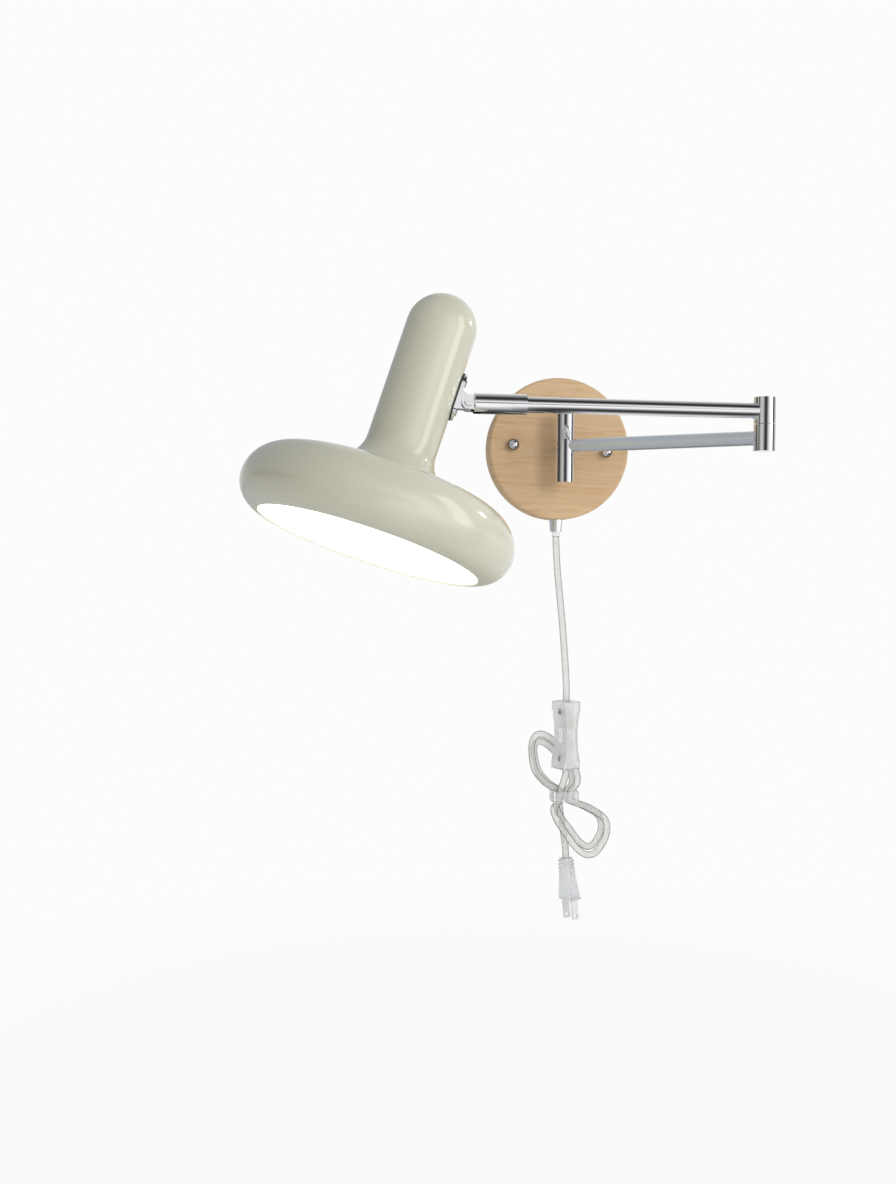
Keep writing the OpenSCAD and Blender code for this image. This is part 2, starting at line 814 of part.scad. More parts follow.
module lower_arm() {
    color(chrome) lower_arm_place() difference() {
        along_x() rod(lower_arm_d, lower_arm_l);
        along_x(-cut) rod(lower_arm_d - 2 * tube_wall, lower_arm_l + 2 * cut);
        translate([0, 0, -post_h / 2]) rod(post_d, post_h);
        translate([lower_arm_l, 0, -elbow_h]) rod(elbow_d, 2 * elbow_h);
    }
}

module lead_pair(from, to, bore) {
    drop = sqrt(pow((bore - lead_d) / 2, 2) - lead_d * lead_d / 4) - run_gap;
    mirrored_y() translate([from, lead_d / 2, -drop]) rotate([0, 90, 0]) rod(lead_d - run_gap, to - from);
}

module lower_leads() {
    color(brass) lower_arm_place()
        lead_pair(post_d / 2 + 1, lower_arm_l - elbow_d / 2 - 1, lower_arm_d - 2 * tube_wall);
}

module elbow_lower() {
    color(chrome) elbow_place() difference() {
        translate([0, 0, -elbow_h / 2]) rod(elbow_d, elbow_h - elbow_gap / 2);
        translate([0, 0, -elbow_h]) rod(elbow_pin_d, 2 * elbow_h);
        translate([0, 0, -elbow_h]) rod(elbow_d - 2 * cap_rim, elbow_h / 2 + cap_t);
        translate([0, 0, -elbow_h]) rod(pin_head_d, elbow_h / 2 + cap_t + pin_head_h);
        translate([0, 0, elbow_h / 2 - elbow_gap / 2 - washer_in]) rod(pin_head_d + 2 * loose, elbow_h);
    }
}

module elbow_bottom_cap() {
    color(chrome) elbow_place() translate([0, 0, -elbow_h / 2]) rod(elbow_d - 2 * cap_rim, cap_t);
}

module elbow_pin() {
    foot = -elbow_h / 2 + cap_t;
    top = 3 * elbow_h / 2 - cap_t - pin_room;
    color(steel) elbow_place() union() {
        translate([0, 0, foot]) rod(elbow_pin_d, top - foot);
        translate([0, 0, foot]) rod(pin_head_d, pin_head_h);
    }
}

module elbow_washer() {
    t = elbow_gap + 2 * washer_in - 2 * run_gap;
    color(white) elbow_place() translate([0, 0, elbow_h / 2 - elbow_gap / 2 - washer_in]) difference() {
        rod(pin_head_d, t);
        translate([0, 0, -cut]) rod(elbow_pin_d + end_gap, t + 2 * cut);
    }
}

// Upper arm
module elbow_upper() {
    color(chrome) upper_arm_place() difference() {
        translate([0, 0, -elbow_h / 2 + elbow_gap / 2]) rod(elbow_d, elbow_h - elbow_gap / 2);
        translate([0, 0, -elbow_h]) rod(elbow_pin_d + 2 * run_gap, 2 * elbow_h);
        translate([0, 0, -elbow_h]) rod(pin_head_d + 2 * loose, elbow_h / 2 + elbow_gap / 2 + washer_in);
        translate([0, 0, elbow_h / 2 - cap_t]) rod(elbow_d - 2 * cap_rim, cap_t + cut);
        translate([0, 0, elbow_h / 2 - cap_t - pin_head_h - pin_room])
            rod(pin_head_d + 2 * pin_room, pin_head_h + cap_t + cut);
    }
}

module elbow_top_cap() {
    color(chrome) upper_arm_place() translate([0, 0, elbow_h / 2 - cap_t])
        rod(elbow_d - 2 * cap_rim, cap_t);
}

module elbow_clip() {
    color(steel) elbow_place() translate([0, 0, 3 * elbow_h / 2 - cap_t - pin_head_h]) difference() {
        rod(pin_head_d, clip_t);
        translate([0, 0, -cut]) rod(elbow_pin_d, clip_t + 2 * cut);
    }
}

module upper_arm() {
    bore = upper_arm_d - 2 * tube_wall;
    groove_x = sleeve_x + tube_in_sleeve / 2;
    color(chrome) upper_arm_place() difference() {
        along_x() rod(upper_arm_d, tube_end);
        along_x(-cut) rod(bore, tube_end + 2 * cut);
        translate([0, 0, -elbow_h]) rod(elbow_d, 2 * elbow_h);
        along_x(groove_x - groove_w / 2) difference() {
            rod(upper_arm_d + 2, groove_w);
            translate([0, 0, -cut]) rod(upper_arm_d - 2 * swivel_groove, groove_w + 2 * cut);
        }
    }
}

module upper_leads() {
    color(brass) upper_arm_place() lead_pair(elbow_d / 2 + 1, tube_end - 1, upper_arm_d - 2 * tube_wall);
}

module arm_collar() {
    color(chrome) upper_arm_place() difference() {
        along_x(collar_x) rod(sleeve_d, collar_l);
        along_x(collar_x - cut) rod(upper_arm_d, collar_l + 2 * cut);
    }
}

// Swivel
module swivel_sleeve() {
    end_x = sleeve_x + sleeve_l;
    color(chrome) swivel_place() difference() {
        union() {
            along_x(sleeve_x) rod(sleeve_d, sleeve_l - sleeve_edge);
            along_x(end_x - sleeve_edge)
                cylinder(d1 = sleeve_d, d2 = sleeve_d - 2 * sleeve_edge, h = sleeve_edge);
            intersection() {
                along_x(end_x - cut) rod(sleeve_d, fork_reach + 2 * eye_r);
                union() {
                    translate([pin_x, sleeve_d, 0]) rotate([90, 0, 0]) rod(2 * eye_r, 2 * sleeve_d);
                    translate([end_x - cut, -sleeve_d, -eye_r])
                        cube([fork_reach + cut, 2 * sleeve_d, 2 * eye_r]);
                }
                translate([end_x - 1, -eye_w / 2 - cheek_t, -sleeve_d])
                    cube([sleeve_d, eye_w + 2 * cheek_t, 2 * sleeve_d]);
            }
        }
        along_x(sleeve_x - cut) rod(upper_arm_d + 2 * run_gap, tube_in_sleeve + cut + 1);
        translate([end_x - slot_in, -eye_w / 2 - loose / 2, -sleeve_d])
            cube([slot_in + fork_reach + 2 * eye_r, eye_w + loose, 2 * sleeve_d]);
        translate([pin_x, sleeve_d, 0]) rotate([90, 0, 0]) rod(tilt_screw_d, 2 * sleeve_d);
        translate([sleeve_x + tube_in_sleeve / 2, 0, -sleeve_d]) rod(swivel_screw_d, sleeve_d);
    }
}

module swivel_screw() {
    tip = upper_arm_d / 2 - swivel_groove + screw_sink;
    color(steel) swivel_place() translate([sleeve_x + tube_in_sleeve / 2, 0, screw_sink - sleeve_d / 2])
        rod(swivel_screw_d, sleeve_d / 2 - tip - screw_sink);
}

module tilt_screw() {
    cheek_out = eye_w / 2 + cheek_t;
    color(chrome) swivel_place() translate([pin_x, 0, 0]) rotate([90, 0, 0]) difference() {
        union() {
            translate([0, 0, -cheek_out]) rod(tilt_screw_d, 2 * cheek_out);
            translate([0, 0, cheek_out]) rod(tilt_head_d, tilt_head_h);
        }
        translate([-tilt_slot_w / 2, -tilt_screw_d, cheek_out + tilt_head_h / 2])
            cube([tilt_slot_w, 2 * tilt_screw_d, tilt_head_h]);
    }
}

module tilt_nut() {
    color(steel) swivel_place() translate([pin_x, eye_w / 2 + cheek_t, 0]) rotate([-90, 0, 0])
        hex(tilt_nut_across, tilt_nut_t);
}

// Head
module column_solid(r) {
    translate([column_x, 0, -2 * lug_l]) rod(2 * r, 4 * lug_l);
}

module lug_outline(l, w) {
    rotate([0, 0, 90]) slot_outline(l, w);
}

module lug_screw_places() {
    translate([0, 0, lug_rise]) mirrored_z() translate([0, 0, lug_screw_pitch / 2]) children();
}

module lug_slab(l, w, x, t) {
    translate([x, 0, lug_rise]) rotate([0, 90, 0]) rotate([0, 0, 90]) linear_extrude(t) lug_outline(l, w);
}

module tilt_lug() {
    face_x = column_gap - gasket_t - lug_t;
    color(chrome) head_place() difference() {
        union() {
            lug_slab(lug_l, lug_w, face_x, lug_t + column_r / 4);
            rotate([90, 0, 0]) translate([0, 0, -eye_w / 2]) linear_extrude(eye_w) union() {
                circle(r = eye_r);
                polygon([[0, -eye_r], [face_x + lug_t / 2, -ear_half],
                    [face_x + lug_t / 2, ear_half], [0, eye_r]]);
            }
        }
        column_solid(column_r + gasket_t);
        translate([0, eye_w, 0]) rotate([90, 0, 0]) rod(tilt_screw_d + 2 * run_gap, 2 * eye_w);
        lug_screw_places() along_x() rod(lug_screw_d, column_r);
    }
}

module lug_gasket() {
    color(black) head_place() difference() {
        lug_slab(lug_l + 1, lug_w + 1, column_gap - gasket_t, column_r / 4);
        column_solid(column_r);
        difference() {
            column_solid(2 * column_r);
            column_solid(column_r + gasket_t);
        }
        lug_screw_places() along_x() rod(lug_screw_d + loose, column_r);
    }
}

module lug_screws() {
    face_x = column_gap - gasket_t - lug_t;
    color(steel) head_place() lug_screw_places() union() {
        along_x(face_x - lug_screw_head_h) rod(lug_screw_head_d, lug_screw_head_h);
        along_x(face_x - cut) rod(lug_screw_d, leg_x + leg_t + lug_screw_out - face_x + cut);
    }
}

module shade_ring(outer, inner) {
    shade_place() rotate_extrude($fn = 128) polygon(concat(outer, reversed(inner)));
}

module shade_column() {
    color(enamel) difference() {
        shade_ring(column_outline(0), column_outline(shade_wall));
        head_place() lug_screw_places() along_x() rod(lug_screw_d + loose, column_x);
        head_place() along_x() rod(lead_hole_d, column_x);
    }
}

module shade_top() {
    color(enamel) shade_ring(top_outline(0), top_outline(shade_wall));
}

module shade_rim() {
    color(enamel) shade_ring(rim_outline(0), rim_outline(shade_wall));
}

module holder_bracket() {
    leg_bottom = lug_rise - lug_screw_pitch / 2 - leg_end;
    color(steel) head_place() difference() {
        union() {
            translate([leg_x, -leg_half, leg_bottom]) cube([leg_t, leg_w, holder_top + leg_t - leg_bottom]);
            translate([leg_x, -leg_half, holder_top]) cube([column_x + nipple_d - leg_x, leg_w, leg_t]);
        }
        lug_screw_places() along_x() rod(lug_screw_d, column_x);
        along_x() rod(lead_hole_d, leg_x + 2 * leg_t);
        translate([column_x, 0, holder_top - cut]) rod(nipple_d + loose, leg_t + 2 * cut);
    }
}

module holder_nut() {
    color(steel) head_place() translate([column_x, 0, holder_top + leg_t]) difference() {
        hex(holder_nut_across, holder_nut_t);
        translate([0, 0, -cut]) rod(nipple_d, holder_nut_t + 2 * cut);
    }
}

module lamp_holder() {
    bore_l = bulb_cap_l + 2 * socket_gap;
    color(white) head_place() translate([column_x, 0, holder_z]) difference() {
        union() {
            rod(holder_d, holder_l);
            translate([0, 0, holder_l - cut]) rod(nipple_d, nipple_l + cut);
        }
        translate([0, 0, -cut]) rod(thread_d, bore_l + cut);
        translate([0, 0, holder_l / 2]) rod(nipple_d - 2 * nipple_wall, holder_l);
    }
}

module holder_thread() {
    color(brass) head_place() translate([column_x, 0, holder_z + socket_gap]) difference() {
        rod(thread_d, bulb_cap_l);
        translate([0, 0, -cut]) rod(bulb_cap_d + end_gap, bulb_cap_l + 2 * cut);
    }
}

module holder_contact() {
    color(brass) head_place() translate([column_x, 0, bulb_cap_top]) rod(contact_d, socket_gap);
}

module bulb_globe() {
    r = bulb_d / 2;
    cap_r = bulb_cap_d / 2;
    shoulder = bulb_l - bulb_cap_l;
    side = acos((cap_r + socket_gap) / r) - bulb_neck[2];
    color(white) head_place() translate([column_x, 0, bulb_tip_z]) rotate_extrude()
        polygon(concat([[0, 0]], arc([0, r], r, -85, side, 16),
            [[cap_r - bulb_neck[0], shoulder - bulb_neck[2]],
            [cap_r - bulb_neck[1], shoulder], [0, shoulder]]));
}

module bulb_cap() {
    color(steel) head_place() translate([column_x, 0, bulb_tip_z + bulb_l - bulb_cap_l]) union() {
        rod(bulb_cap_d, bulb_cap_l - tip_cone - tip_t);
        translate([0, 0, bulb_cap_l - tip_cone - tip_t])
            cylinder(d1 = bulb_cap_d, d2 = tip_d, h = tip_cone);
        translate([0, 0, bulb_cap_l - tip_t]) rod(tip_d, tip_t);
    }
}

wall_plate();
wall_bracket();
bracket_studs();
cap_nuts();
stem();
stem_washer();
stem_nut();
hinge_spindle();
terminal_block();
terminal_screws();
supply_leads();
cord_gland();
cord_bush();
cord_upper();
cord_hank();
hank_tie();
cord_tail();
switch_front();
switch_back();
switch_screw();
switch_rocker();
switch_contacts();
plug_body();
plug_blades();
post_barrel();
post_caps();
lower_arm();
lower_leads();
elbow_lower();
elbow_bottom_cap();
elbow_pin();
elbow_washer();
elbow_upper();
elbow_top_cap();
elbow_clip();
upper_arm();
upper_leads();
arm_collar();
swivel_sleeve();
swivel_screw();
tilt_screw();
tilt_nut();
tilt_lug();
lug_gasket();
lug_screws();
shade_column();
shade_top();
shade_rim();
holder_bracket();
holder_nut();
lamp_holder();
holder_thread();
holder_contact();
bulb_globe();
bulb_cap();
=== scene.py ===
"""Looks of a swing arm wall lamp: oiled wood plate, chrome arms, enamelled shade and clear flat cord."""
import math

import bmesh
import bpy
from mathutils import Matrix, Vector


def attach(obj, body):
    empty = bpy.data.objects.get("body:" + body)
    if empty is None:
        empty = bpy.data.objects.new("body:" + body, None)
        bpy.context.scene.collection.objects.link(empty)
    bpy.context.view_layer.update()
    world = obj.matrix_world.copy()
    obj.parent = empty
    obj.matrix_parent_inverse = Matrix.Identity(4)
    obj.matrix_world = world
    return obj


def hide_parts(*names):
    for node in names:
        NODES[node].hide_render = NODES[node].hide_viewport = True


bl_info = {
    "name": "Swing Arm Wall Lamp Looks",
    "version": (1, 0, 0),
    "blender": (4, 5, 0),
    "location": "3D View > Sidebar > Wall Lamp",
    "description": "Finishes a swing arm wall lamp with wood, chrome, enamel and a clear flat cord",
    "category": "Object",
}

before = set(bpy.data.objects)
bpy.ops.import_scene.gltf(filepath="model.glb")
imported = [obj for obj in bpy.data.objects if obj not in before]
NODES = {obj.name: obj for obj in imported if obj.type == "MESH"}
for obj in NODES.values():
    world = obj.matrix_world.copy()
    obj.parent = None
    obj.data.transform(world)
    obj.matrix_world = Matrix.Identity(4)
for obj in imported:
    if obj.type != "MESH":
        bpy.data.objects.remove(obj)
MM = 0.001

# The camera of the photograph, in millimetres and radians, and how near it sees, in metres.
CAMERA_AT = (-203.053, -1028.799, -97.715)
CAMERA_YAW = 0.108
CAMERA_PITCH = 0.024
CAMERA_ROLL = 0.008
FOCAL_PX = 1203.657
IMAGE_W = 896
SENSOR_MM = 36
NEAREST_SEEN = 0.01

# The head at rest, in millimetres and radians: its tilt screw, how the upper arm, the swivel and
# the shade are turned, and how far the shade's axis and mouth lie from the screw.
TILT_SCREW = Vector((-93.209, -142.755, 20.5))
ARM_TURN = math.radians(181.7)
HEAD_ROLL = math.radians(7)
HEAD_TILT = math.radians(18.6)
COLUMN_X = 36.2
MOUTH_DROP = 125.4


def head_turn():
    """Rotation from the shade's own frame, with +Z along its column, to the lamp's frame."""
    return (
        Matrix.Rotation(ARM_TURN, 3, "Z")
        @ Matrix.Rotation(HEAD_ROLL, 3, "X")
        @ Matrix.Rotation(-HEAD_TILT, 3, "Y")
    )


SHADE_AXIS = head_turn() @ Vector((0, 0, 1))
MOUTH_AT = (TILT_SCREW + head_turn() @ Vector((COLUMN_X, 0, -MOUTH_DROP))) * MM

# The shade's wall, in metres from the middle of its mouth: where the column passes into the disc,
# the centre of the column's dome, the middle line of the disc's bulge, how near the middle of the
# sheet the lining passes into the enamel, and the lip.
COLUMN_RADIUS = (0.0365, 0.0375)
DOME_HEIGHT = 0.1715
BULGE_RADIUS, BULGE_HEIGHT = 0.075, 0.0214
WALL_SIDES = (-0.0006, 0.0006)
LIP_HEIGHT = (0.0007, 0.0013)
LIP_RADIUS = (0.0836, 0.0839)
# How far down the enamel faces where it is dull, and where it has its full gloss.
ROLLED_UNDER = (-0.97, -0.65)

# Shader maths


class Val:
    """A socket whose sums are written as Python expressions."""

    def __init__(self, sheet, socket):
        self.sheet = sheet
        self.socket = socket

    def maths(self, operation, other, swapped=False):
        pair = [other, self] if swapped else [self, other]
        return self.sheet.maths(operation, *pair)

    def __add__(self, other):
        return self.maths("ADD", other)

    def __radd__(self, other):
        return self.maths("ADD", other, True)

    def __sub__(self, other):
        return self.maths("SUBTRACT", other)

    def __rsub__(self, other):
        return self.maths("SUBTRACT", other, True)

    def __mul__(self, other):
        return self.maths("MULTIPLY", other)

    def __rmul__(self, other):
        return self.maths("MULTIPLY", other, True)

    def __truediv__(self, other):
        return self.maths("DIVIDE", other)


NODES_IN_ROW = 8
NODE_WIDTH = 190
NODE_HEIGHT = 260


class NodeSheet:
    """The nodes of one material or world, laid out left to right as they are made."""

    def __init__(self, tree):
        self.tree = tree
        self.tree.nodes.clear()
        self.made = 0

    def node(self, kind, settings=None, values=(), out=0):
        """Adds a node: its settings, then a value or a link for each named or numbered socket."""
        made = self.tree.nodes.new(kind)
        row, column = divmod(self.made, NODES_IN_ROW)
        made.location = (column * NODE_WIDTH, -row * NODE_HEIGHT)
        self.made += 1
        for key, value in (settings or {}).items():
            if key == "stops":
                set_stops(made.color_ramp, value)
            else:
                setattr(made, key, value)
        pairs = values.items() if isinstance(values, dict) else enumerate(values)
        for key, value in pairs:
            if isinstance(value, Val):
                self.tree.links.new(value.socket, made.inputs[key])
            elif value is not None:
                made.inputs[key].default_value = value
        return Val(self, made.outputs[out]) if len(made.outputs) else None

    def maths(self, operation, *values):
        """A sum on numbers."""
        return self.node("ShaderNodeMath", {"operation": operation}, values)

    def vector_maths(self, operation, *values, out="Vector"):
        """A sum on places, directions or colours."""
        return self.node("ShaderNodeVectorMath", {"operation": operation}, values, out)

    def mix(self, factor, a, b):
        """Blend of two colours, through the node's sockets for colours."""
        return self.node("ShaderNodeMix", {"data_type": "RGBA"}, {0: factor, 6: a, 7: b}, out=2)

    def mottled(self, colour, pattern, darkest, lightest):
        """A colour that goes from a darker to a lighter tone with a pattern."""
        return self.mix(pattern, tone(colour, darkest), tone(colour, lightest))

    def soft_step(self, value, low, high):
        """0 below low, 1 above high, smooth between."""
        return self.node(
            "ShaderNodeMapRange", {"interpolation_type": "SMOOTHSTEP"}, [value, low, high, 0.0, 1.0]
        )

    def place(self):
        """A point of the piece in the lamp's frame at rest."""
        return self.node("ShaderNodeTexCoord", out="Object")

    def noise(self, vector, scale, detail=2.0, roughness=0.5):
        values = {"Vector": vector, "Scale": scale, "Detail": detail, "Roughness": roughness}
        return self.node("ShaderNodeTexNoise", None, values)

    def stretched(self, vector, scale):
        """The same place with each direction stretched by its own factor."""
        return self.vector_maths("MULTIPLY", vector, scale)

    def dot(self, vector, along):
        return self.vector_maths("DOT_PRODUCT", vector, along, out="Value")

    def length(self, vector):
        return self.vector_maths("LENGTH", vector, out="Value")

    def facing_away(self):
        """0 where the surface is seen from straight ahead, 1 where it is seen edge on."""
        return self.node("ShaderNodeLayerWeight", None, {"Blend": 0.5}, out="Facing")

    def seen_straight(self):
        """1 for what the eye sees straight or through clear plastic, 0 for light and reflections."""
        straight = self.node("ShaderNodeLightPath", out="Is Camera Ray")
        through = self.node("ShaderNodeLightPath", out="Is Transmission Ray")
        return self.maths("MINIMUM", straight + through, 1.0)

    def parts(self, vector):
        """The three numbers of a place or a direction."""
        split = self.node("ShaderNodeSeparateXYZ", None, [vector])
        return [Val(self, socket) for socket in split.socket.node.outputs]

    def bump(self, height, strength, distance):
        values = {"Strength": strength, "Distance": distance, "Height": height}
        return self.node("ShaderNodeBump", None, values)

    def surface(self, values):
        """Ends the sheet in one Principled BSDF."""
        shader = self.node("ShaderNodeBsdfPrincipled", None, values)
        self.node("ShaderNodeOutputMaterial", None, {"Surface": shader})


def set_stops(ramp, stops):
    """Gives a ramp its stops, each a position and a colour."""
    while len(ramp.elements) > 1:
        ramp.elements.remove(ramp.elements[-1])
    for index, (position, colour) in enumerate(stops):
        element = ramp.elements[0] if index == 0 else ramp.elements.new(position)
        element.position = position
        element.color = colour


def tinted(colour, factors):
    """A colour with each of its three parts changed by its own factor."""
    return (*(part * factor for part, factor in zip(colour, factors)), 1.0)


def tone(colour, factor):
    """A colour made lighter or darker by a factor."""
    return tinted(colour, (factor, factor, factor))


def grey(brightness):
    return (brightness, brightness, brightness, 1.0)


NO_LIGHT = grey(0.0)


def new_finish(name, paint, *details):
    """A material whose sheet is filled by one paint function."""
    material = bpy.data.materials.new(name)
    material.use_nodes = True
    paint(NodeSheet(material.node_tree), *details)
    return material


def dress(material, *nodes):
    """Gives CAD nodes a finish."""
    for name in nodes:
        slots = NODES[name].material_slots
        if not slots:
            NODES[name].data.materials.append(material)
        for slot in slots:
            slot.material = material


# Corners of a mesh closer together than this lie on one point, in metres.
SAME_SPOT = 0.01 * MM
# The sharpest turn between two faces of the shade that is still shaded as smooth, in degrees.
SMOOTH_TURN = 30


def spot_of(point):
    """One key for all corners that lie on the same point."""
    return tuple(round(axis / SAME_SPOT) for axis in point)


def even_shading(*nodes):
    """Shades spun CAD nodes evenly over their narrow rings and keeps their real edges."""
    least = math.cos(math.radians(SMOOTH_TURN))
    meshes = [NODES[name].data for name in nodes]
    corners_at = {}
    for data in meshes:
        for face in data.polygons:
            points = [data.vertices[index].co for index in face.vertices]
            for at, point in enumerate(points):
                back = points[at - 1] - point
                on = points[(at + 1) % len(points)] - point
                corners_at.setdefault(spot_of(point), []).append(face.normal * back.angle(on, 0.0))
    for data in meshes:
        normals = []
        for face in data.polygons:
            for index in face.vertices:
                corners = corners_at[spot_of(data.vertices[index].co)]
                near = [turn for turn in corners if turn.dot(face.normal) > least * turn.length]
                normals.append(sum(near, Vector()).normalized())
        data.normals_split_custom_set(normals)


# The studio in reflections: pale panels with dark gaps, level round the lamp and upright over it.
# Degrees are counted from the camera's side of the room, to the right and up.
LEVEL_PANELS = [
    (-180, 0.9), (-145, 0.5), (-118, 0.16), (-92, 0.03), (-76, 0.08), (-63, 0.42), (-47, 0.6),
    (-34, 0.5), (-20, 0.14), (-9, 0.02), (0, 0.03), (11, 0.25), (21, 0.6), (31, 0.85), (42, 0.92),
    (55, 0.82), (67, 0.4), (77, 0.05), (86, 0.08), (98, 0.3), (113, 0.55), (150, 0.9), (180, 0.9),
]
UPRIGHT_PANELS = [
    (-180, 0.9), (-140, 0.8), (-108, 0.6), (-92, 0.3), (-80, 0.08), (-60, 0.03), (-44, 0.14),
    (-30, 0.55), (-18, 0.95), (0, 1.0), (18, 0.95), (31, 0.42), (42, 0.08), (52, 0.03), (66, 0.03),
    (79, 0.14), (101, 0.38), (130, 0.7), (180, 0.9),
]
# How much blue the panels have for one part of grey.
PANEL_BLUE = 1.01

# Where one part of the reflected studio passes into the next, in parts of a direction's length,
# how much nearer to level its lower half is taken outside the right side, and its left wall.
HORIZON = (-0.02, 0.02)
RIGHT_SIDE = (0.19, 0.25)
LEFT_TO_RIGHT = (-0.15, 0.1)
LEVEL_MIDDLE = 0.1
LEVEL_TO_STEEP = (0.06, 0.18)
LOWER_PULL = 0.45
LEFT_WALL = (0.38, 0.41, 0.44, 1.0)

# The plain light of the surroundings on surfaces, from below and from above.
AMBIENT_BELOW = grey(0.64)
AMBIENT_ABOVE = (0.47, 0.47, 0.48, 1.0)

# The lamps of the studio: place and size in metres, share of the key light's power, and
# whether reflections show them. All are turned to one point near the shade.
LAMPS = {
    "key_light": ((0.33, -0.87, 0.17), (0.3, 0.6), 1.4, False),
    "soft_box": ((0.73, -0.53, 0.18), (0.32, 0.9), 0.6, True),
    "fill_light": ((-0.35, -0.6, -0.55), (0.5, 0.5), 0.3, False),
    "low_light": ((-0.3, -0.1, -0.52), (0.4, 0.4), 0.15, False),
    "side_light": ((1.0, 0.18, 0.4), (0.12, 0.12), 0.2, True),
}
LAMPS_AIM = Vector((-0.05, -0.08, -0.03))

# The floor's size and place in metres, how far from the lamp its shadow fades, how much of the
# background's own white it has near the lamp, and its paint in the light.
FLOOR_RADIUS = 1.6
FLOOR_SIDES = 96
FLOOR_AT = (0, 0, -0.62)
SHADOW_FADE = (0.3, 1.0)
FLOOR_WHITE = 0.92
FLOOR_PAINT = grey(0.9)


def scene_look():
    return bpy.context.scene.wall_lamp_look


# Finishes


# The wood's grain: how much it wanders and climbs, how fine it is across, into and up the plate,
# and the tints of its pale and warm bands and its brown streaks.
WANDER = (5.0, 4.0, 14.0)
WANDER_HEIGHT = 0.004
GRAIN_CLIMB = 0.03
FIBRES = (22.0, 60.0, 560.0)
BANDS = (5.0, 20.0, 110.0)
STREAKS = (34.0, 60.0, 420.0)
STREAK_SHIFT = 7.0
PALE_BAND = (1.04, 1.05, 1.04)
WARM_BAND = (0.98, 0.88, 0.80)
BROWN_STREAK = (0.84, 0.70, 0.62)


def grain_place(sheet, place, fineness, shift=0.0):
    """The place that a grain pattern is read at, fine in one direction and long in another."""
    stretched = [part * factor for part, factor in zip(place, fineness)]
    return sheet.node("ShaderNodeCombineXYZ", None, [stretched[0] + shift, *stretched[1:]])


def paint_wood(sheet, colour):
    """Fine level grain with pale and warm bands and a few brown streaks."""
    place = sheet.place()
    x, y, z = sheet.parts(place)
    wander = sheet.noise(sheet.stretched(place, WANDER), 1.0, 2.0)
    grain = (x, y, z + x * GRAIN_CLIMB + wander * WANDER_HEIGHT)
    fibre = sheet.noise(grain_place(sheet, grain, FIBRES), 1.0, 3.0, 0.6)
    bands = sheet.noise(grain_place(sheet, grain, BANDS), 1.0, 2.0)
    streak = sheet.noise(grain_place(sheet, grain, STREAKS, STREAK_SHIFT), 1.0, 1.0)
    base = sheet.mottled(colour, sheet.soft_step(fibre, 0.32, 0.68), 0.93, 1.05)
    base = sheet.mix(sheet.soft_step(bands, 0.5, 0.72) * 0.6, base, tinted(colour, PALE_BAND))
    base = sheet.mix(sheet.soft_step(1 - bands, 0.5, 0.72) * 0.5, base, tinted(colour, WARM_BAND))
    base = sheet.mix(sheet.soft_step(streak, 0.56, 0.70) * 0.55, base, tinted(colour, BROWN_STREAK))
    values = {
        "Base Color": base,
        "Roughness": 0.5 + fibre * 0.1,
        "Normal": sheet.bump(fibre, 0.12, 0.0003),
    }
    sheet.surface(values)


# How rough each finish of the chrome is.
POLISHED, SOFT, SATIN = 0.02, 0.12, 0.32


def paint_chrome(sheet, colour, roughness, painted_rim_darkness=0.0):
    """Chrome with faint smears, and a painted dark reflection where it is seen edge on, as strong as the
    last value.
    """
    smear = sheet.noise(sheet.place(), 22.0, 3.0)
    bright = sheet.mottled(colour, smear, 0.98, 1.01)
    # Painted reflection: the colour darkens towards the edges that are seen side on.
    painted_dark_rim = sheet.soft_step(sheet.facing_away(), 0.2, 0.6) * painted_rim_darkness
    values = {
        "Base Color": sheet.mix(painted_dark_rim, bright, tone(colour, 0.06)),
        "Metallic": 1.0,
        "Roughness": roughness + smear * 0.04,
    }
    sheet.surface(values)


def paint_nickel(sheet, colour):
    """Pale nickel with soft smears."""
    smear = sheet.noise(sheet.place(), 90.0, 3.0)
    values = {
        "Base Color": sheet.mottled(colour, smear, 0.96, 1.02),
        "Metallic": 0.5,
        "Roughness": 0.4 + smear * 0.1,
    }
    sheet.surface(values)


def paint_brushed_steel(sheet, colour):
    """Plain steel with level brush marks."""
    streak = sheet.noise(sheet.stretched(sheet.place(), (60.0, 60.0, 900.0)), 1.0, 3.0)
    values = {
        "Base Color": sheet.mottled(colour, streak, 0.88, 1.05),
        "Metallic": 1.0,
        "Roughness": 0.26 + streak * 0.16,
        "Normal": sheet.bump(streak, 0.08, 0.0002),
    }
    sheet.surface(values)


def paint_brass(sheet, colour):
    """Bare brass, tarnished in patches."""
    tarnish = sheet.noise(sheet.place(), 140.0, 3.0)
    values = {
        "Base Color": sheet.mottled(colour, tarnish, 0.78, 1.05),
        "Metallic": 1.0,
        "Roughness": 0.28 + tarnish * 0.2,
    }
    sheet.surface(values)


